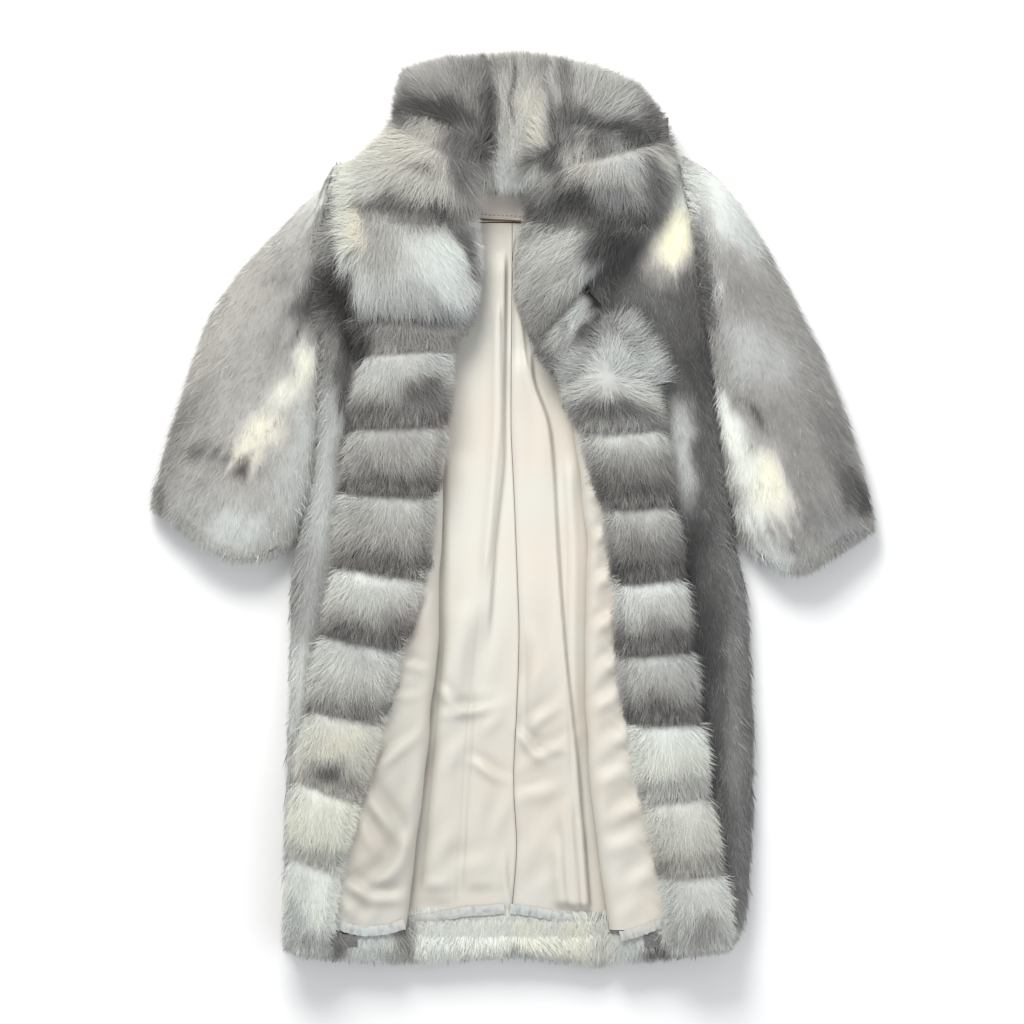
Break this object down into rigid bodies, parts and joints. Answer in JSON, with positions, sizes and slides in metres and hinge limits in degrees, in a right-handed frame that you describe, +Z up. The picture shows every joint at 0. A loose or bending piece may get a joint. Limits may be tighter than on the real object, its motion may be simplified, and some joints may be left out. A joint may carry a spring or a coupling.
{
  "type": "fur coat",
  "caption": "Long fox fur coat laid open on its back, with a shawl collar, fur facings, wide sleeves and a satin lining.",
  "frame": {"origin": "centre of the coat's footprint on the surface it lies on", "axes": "+Z up from the surface, +Y from the hem towards the collar, +X across the coat towards the right of a viewer who stands at the hem and looks down on it"},
  "size_m": [1.0221, 1.2808, 0.1083],
  "materials": {
    "fur_body": "long soft fur, vertical pelts",
    "fur_sleeve": "long soft fur, vertical pelts",
    "fur_trim": "long soft fur, crosswise pelts",
    "satin": "ivory satin, soft sheen",
    "ribbon": "white satin ribbon",
    "skin": "bare suede side of the pelt",
    "cord": "twisted brown cord"
  },
  "bodies": {
    "root": {"back": "fur_body", "front_left": "fur_body", "front_right": "fur_body", "hem_fur_back": "fur_body", "sleeve_left_over": "fur_sleeve", "sleeve_left_under": "fur_sleeve", "sleeve_right_over": "fur_sleeve", "sleeve_right_under": "fur_sleeve", "trim_left_1": "fur_trim", "trim_left_2": "fur_trim", "trim_left_3": "fur_trim", "trim_left_4": "fur_trim", "trim_left_5": "fur_trim", "trim_left_6": "fur_trim", "trim_left_7": "fur_trim", "trim_left_8": "fur_trim", "trim_left_9": "fur_trim", "trim_right_1": "fur_trim", "trim_right_2": "fur_trim", "trim_right_3": "fur_trim", "trim_right_4": "fur_trim", "trim_right_5": "fur_trim", "trim_right_6": "fur_trim", "trim_right_7": "fur_trim", "trim_right_8": "fur_trim", "trim_right_9": "fur_trim", "collar_left_low": "fur_trim", "collar_left_mid": "fur_trim", "collar_left_top": "fur_trim", "collar_back": "fur_trim", "collar_right_top": "fur_trim", "collar_right_mid": "fur_trim", "collar_right_low": "fur_trim", "collar_under": "fur_trim", "collar_stand": "fur_trim", "back_lining_left": "satin", "back_lining_right": "satin", "front_lining_left": "satin", "front_lining_right": "satin", "neck_facing": "satin", "hem_tape_front_left": "ribbon", "hem_tape_back_left": "ribbon", "hem_tape_back_right": "ribbon", "hem_tape_front_right": "ribbon", "hem_patch_left": "skin", "hem_patch_right": "skin", "neck_piping": "cord"}
  },
  "joints": []
}
